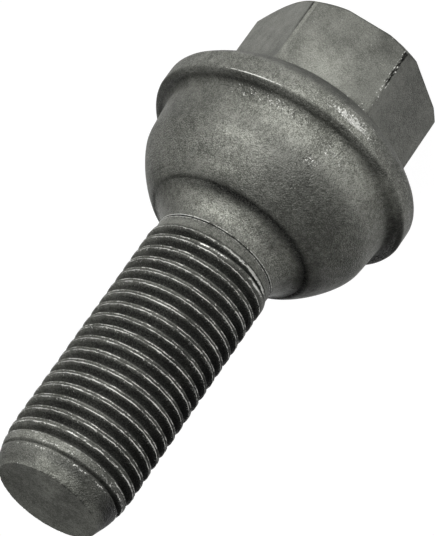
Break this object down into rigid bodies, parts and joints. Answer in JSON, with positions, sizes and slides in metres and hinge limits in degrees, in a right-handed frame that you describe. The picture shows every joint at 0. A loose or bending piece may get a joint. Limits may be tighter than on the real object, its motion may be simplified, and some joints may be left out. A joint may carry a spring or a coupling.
{
  "type": "wheel bolt",
  "caption": "One-piece steel wheel bolt with a hexagon, a domed collar, a ball seat and a fine right-hand thread, which clamps a road wheel to its hub.",
  "frame": {"origin": "centre of the hexagon's end face, on which the bolt stands", "axes": "+Z runs along the bolt's axis from the head to the tip of the thread; -Y is the normal of one flat of the hexagon, and +X points at one of its corners"},
  "size_m": [0.0296, 0.0296, 0.059],
  "materials": {
    "coated_steel": "dark grey phosphate coating on forged steel, satin and mottled, rubbed lighter on edges and thread crests"
  },
  "bodies": {
    "root": {"wheel_bolt": "coated_steel"}
  },
  "joints": []
}
